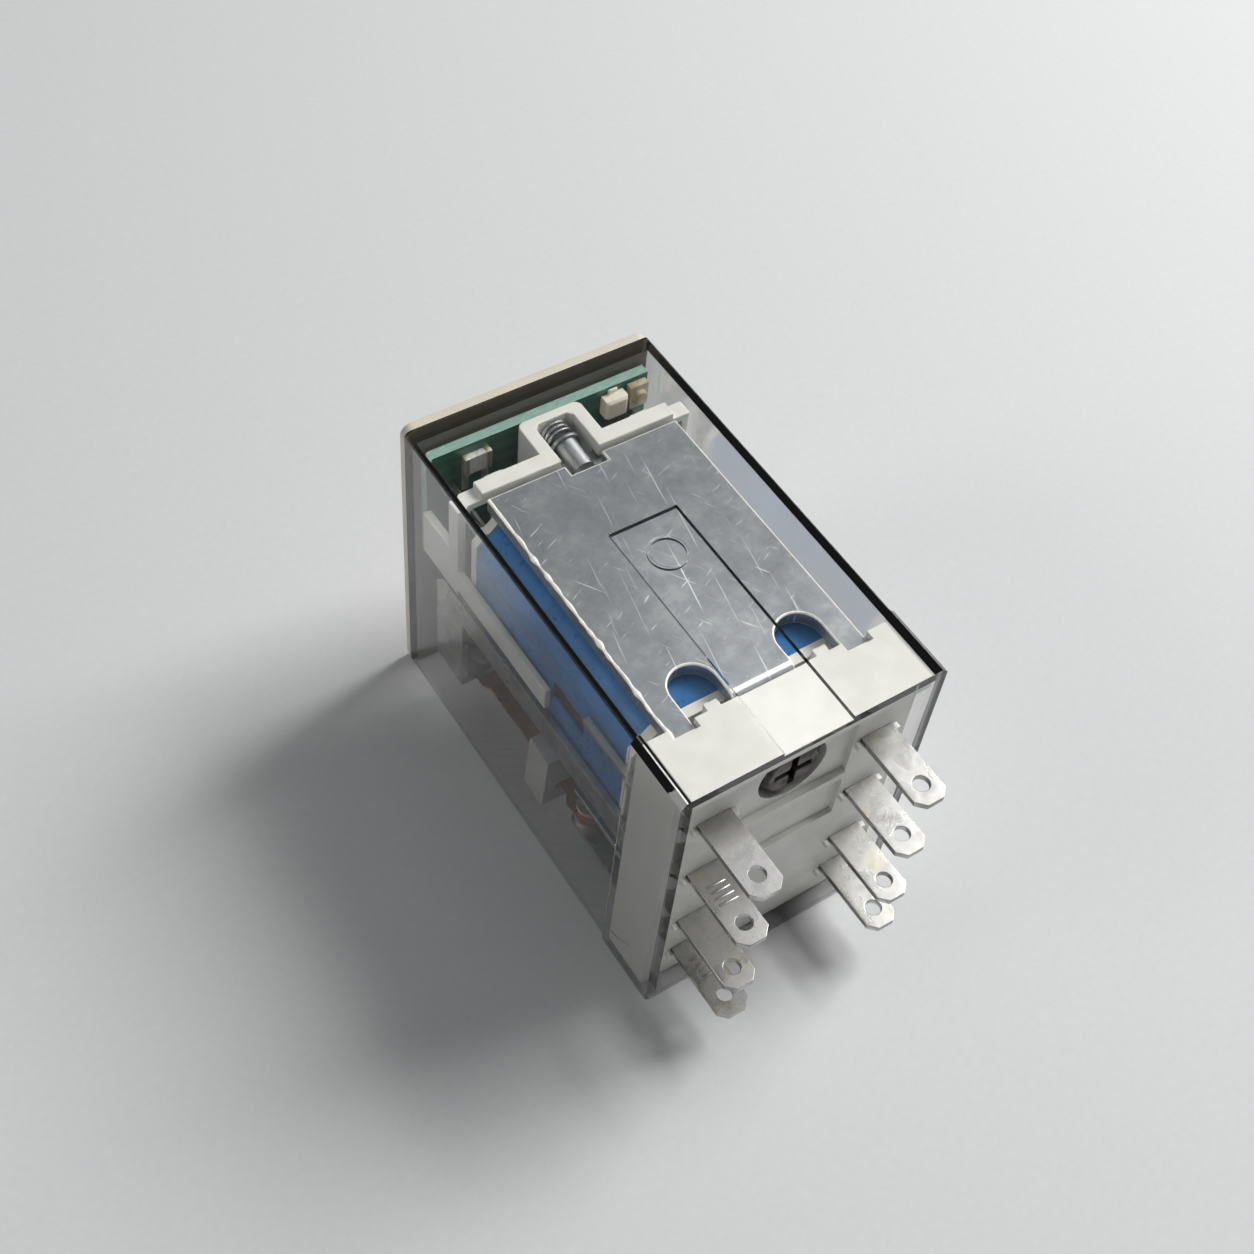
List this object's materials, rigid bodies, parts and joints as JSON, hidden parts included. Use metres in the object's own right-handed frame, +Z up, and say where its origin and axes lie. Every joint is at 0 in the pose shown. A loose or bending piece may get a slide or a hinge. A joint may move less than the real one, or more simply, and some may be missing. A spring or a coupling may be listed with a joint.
{
  "type": "plug-in relay",
  "caption": "Plug-in general-purpose relay lying on its side: clear smoky cover over coil, steel yoke and changeover contacts, flat blades out of a white base.",
  "frame": {"origin": "centre of the footprint at the bottom face, the side the relay lies on", "axes": "+X across the relay, +Y from the blades to the closed end, +Z up to the side that shows the flat yoke"},
  "size_m": [0.0208, 0.041, 0.0267],
  "materials": {
    "smoky_polycarbonate": "clear, slightly smoky",
    "cream_nylon": "satin",
    "white_nylon": "satin",
    "grey_phenolic": "matt",
    "zinc_plated_steel": "scratched",
    "blackened_steel": "dull",
    "soft_iron": "plated",
    "tinned_brass": "tin plated",
    "spring_bronze": "bright",
    "spring_steel": "bright",
    "silver_alloy": "bright",
    "enamelled_copper": "wound wire",
    "blue_tape": "satin film",
    "green_board": "solder mask",
    "black_epoxy": "matt",
    "ceramic_chip": "solder ends",
    "clear_epoxy": "clear"
  },
  "bodies": {
    "frame": {"base": "white_nylon", "board_bracket": "white_nylon", "board_wire_left": "tinned_brass", "board_wire_right": "tinned_brass", "bobbin": "white_nylon", "circuit_board": "green_board", "coil_tape": "blue_tape", "coil_terminal_left": "tinned_brass", "coil_terminal_right": "tinned_brass", "com_rivet_left": "tinned_brass", "com_rivet_right": "tinned_brass", "com_terminal_left": "tinned_brass", "com_terminal_right": "tinned_brass", "core": "soft_iron", "cover": "smoky_polycarbonate", "diode": "black_epoxy", "end_plate": "cream_nylon", "frame_screw": "blackened_steel", "indicator_led": "clear_epoxy", "nc_contact_left": "silver_alloy", "nc_contact_right": "silver_alloy", "nc_terminal_left": "tinned_brass", "nc_terminal_right": "tinned_brass", "no_contact_left": "silver_alloy", "no_contact_right": "silver_alloy", "no_terminal_left": "tinned_brass", "no_terminal_right": "tinned_brass", "resistor": "ceramic_chip", "return_spring": "spring_steel", "spring_post": "soft_iron", "winding": "enamelled_copper", "yoke": "zinc_plated_steel"},
    "armature_set": {"armature": "soft_iron", "armature_card": "grey_phenolic"},
    "spring_set_left": {"moving_spring_left": "spring_bronze", "moving_contact_left": "silver_alloy"},
    "spring_set_right": {"moving_spring_right": "spring_bronze", "moving_contact_right": "silver_alloy"}
  },
  "joints": [
    {"name": "armature_hinge", "type": "hinge", "parent": "frame", "child": "armature_set", "pos_m": [0, 0.01255, 0.0241], "axis": [-1, 0, 0], "range_deg": [0, 4], "stiffness_Nm_per_rad": 0.01, "springref_deg": -5.73},
    {"name": "spring_left_swing", "type": "hinge", "parent": "frame", "child": "spring_set_left", "pos_m": [-0.0066, 0.0135, 0.00543], "axis": [-1, 0, 0], "range_deg": [0, 3.8], "stiffness_Nm_per_rad": 0.001, "springref_deg": -2.86},
    {"name": "spring_right_swing", "type": "hinge", "parent": "frame", "child": "spring_set_right", "pos_m": [0.0066, 0.0135, 0.00543], "axis": [-1, 0, 0], "range_deg": [0, 3.8], "stiffness_Nm_per_rad": 0.001, "springref_deg": -2.86}
  ],
  "couplings": [
    {"joint": "spring_left_swing", "follows": "armature_hinge", "ratio": 0.95},
    {"joint": "spring_right_swing", "follows": "armature_hinge", "ratio": 0.95}
  ]
}
